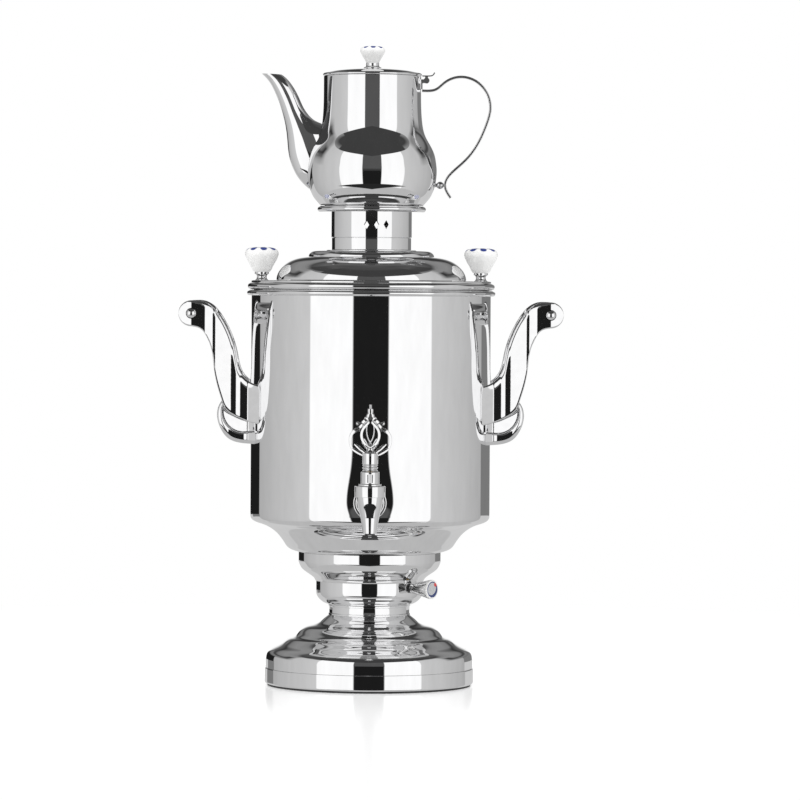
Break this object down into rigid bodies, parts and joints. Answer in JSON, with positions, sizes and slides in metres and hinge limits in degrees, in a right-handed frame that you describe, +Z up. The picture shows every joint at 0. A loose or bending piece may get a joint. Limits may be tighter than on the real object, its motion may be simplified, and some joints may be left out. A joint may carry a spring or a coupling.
{
  "type": "samovar",
  "caption": "Electric samovar: polished boiler on a stepped pedestal, plug tap with an openwork key, bracket handles, a lifting lid with a steam crown, and a teapot on top.",
  "frame": {"origin": "where the boiler's axis meets the table, in the underside of the foot ring", "axes": "+Z up, -Y to the front, where the tap is, +X to the right of a person who faces the tap"},
  "size_m": [0.4422, 0.3899, 0.7393],
  "materials": {
    "polished_steel": "mirror polished stainless steel",
    "plain_steel": "plain",
    "brass": "turned",
    "rubber": "matte",
    "black_plastic": "matte",
    "pale_plastic": "gloss, with a dark blue ring and a red mark",
    "insulator": "matte",
    "copper": "drawn tube",
    "wire_cover": "silicone sleeve",
    "porcelain": "white glaze with small blue dabs",
    "base_grey": "satin"
  },
  "bodies": {
    "samovar": {"foot_ring": "rubber", "base_band": "polished_steel", "base_plate": "plain_steel", "base_plate_screws": "plain_steel", "base_bell": "polished_steel", "pedestal_neck": "polished_steel", "pedestal_bowl": "polished_steel", "support_collar": "polished_steel", "tie_tube": "plain_steel", "lock_nuts": "plain_steel", "cord_gland": "black_plastic", "kettle_bottom": "polished_steel", "kettle_wall": "polished_steel", "heater_element": "plain_steel", "heater_flange": "plain_steel", "heater_nuts": "brass", "thermal_cutout": "black_plastic", "thermostat_body": "insulator", "thermostat_gland": "black_plastic", "sensor_bulb": "copper", "terminal_block": "insulator", "internal_wires": "wire_cover", "left_front_bracket": "polished_steel", "left_rear_bracket": "polished_steel", "right_front_bracket": "polished_steel", "right_rear_bracket": "polished_steel", "left_grip": "polished_steel", "right_grip": "polished_steel", "grip_bolts": "polished_steel", "bracket_screws": "plain_steel", "tap_rosette": "polished_steel", "tap_body": "polished_steel", "tap_seals": "rubber", "tap_bonnet": "polished_steel"},
    "dial": {"thermostat_shaft": "brass", "thermostat_knob": "polished_steel", "dial_cap": "pale_plastic"},
    "lid": {"boiler_lid": "polished_steel", "lid_collar": "polished_steel", "left_lid_knob": "porcelain", "right_lid_knob": "porcelain", "left_lid_ferrule": "polished_steel", "right_lid_ferrule": "polished_steel", "lid_knob_screws": "plain_steel"},
    "crown": {"crown_sleeve": "polished_steel", "crown_flange": "polished_steel"},
    "teapot": {"teapot_body": "polished_steel", "teapot_base": "base_grey", "teapot_spout": "polished_steel", "teapot_handle": "polished_steel", "handle_spacer": "polished_steel", "hinge_bracket": "polished_steel", "hinge_pin": "polished_steel"},
    "teapot_cover": {"teapot_lid": "polished_steel", "lid_lever": "polished_steel", "teapot_knob": "porcelain", "teapot_ferrule": "polished_steel", "teapot_knob_screw": "plain_steel"},
    "tap_handle": {"tap_key": "polished_steel", "tap_plug": "brass"}
  },
  "joints": [
    {"name": "lid_lift", "type": "slide", "parent": "samovar", "child": "lid", "axis": [0, 0, 1], "range_m": [0, 0.12]},
    {"name": "crown_lift", "type": "slide", "parent": "lid", "child": "crown", "axis": [0, 0, 1], "range_m": [0, 0.08]},
    {"name": "teapot_lift", "type": "slide", "parent": "crown", "child": "teapot", "axis": [0, 0, 1], "range_m": [0, 0.15]},
    {"name": "teapot_cover_hinge", "type": "hinge", "parent": "teapot", "child": "teapot_cover", "pos_m": [0.0625, 0, 0.6995], "axis": [0, 1, 0], "range_deg": [0, 75]},
    {"name": "tap_turn", "type": "hinge", "parent": "samovar", "child": "tap_handle", "pos_m": [0, -0.2285, 0.217], "axis": [0, 0, 1], "range_deg": [0, 90]},
    {"name": "thermostat_turn", "type": "hinge", "parent": "samovar", "child": "dial", "pos_m": [0, 0, 0.1145], "axis": [-0.766, 0.6428, 0], "range_deg": [0, 270]}
  ]
}
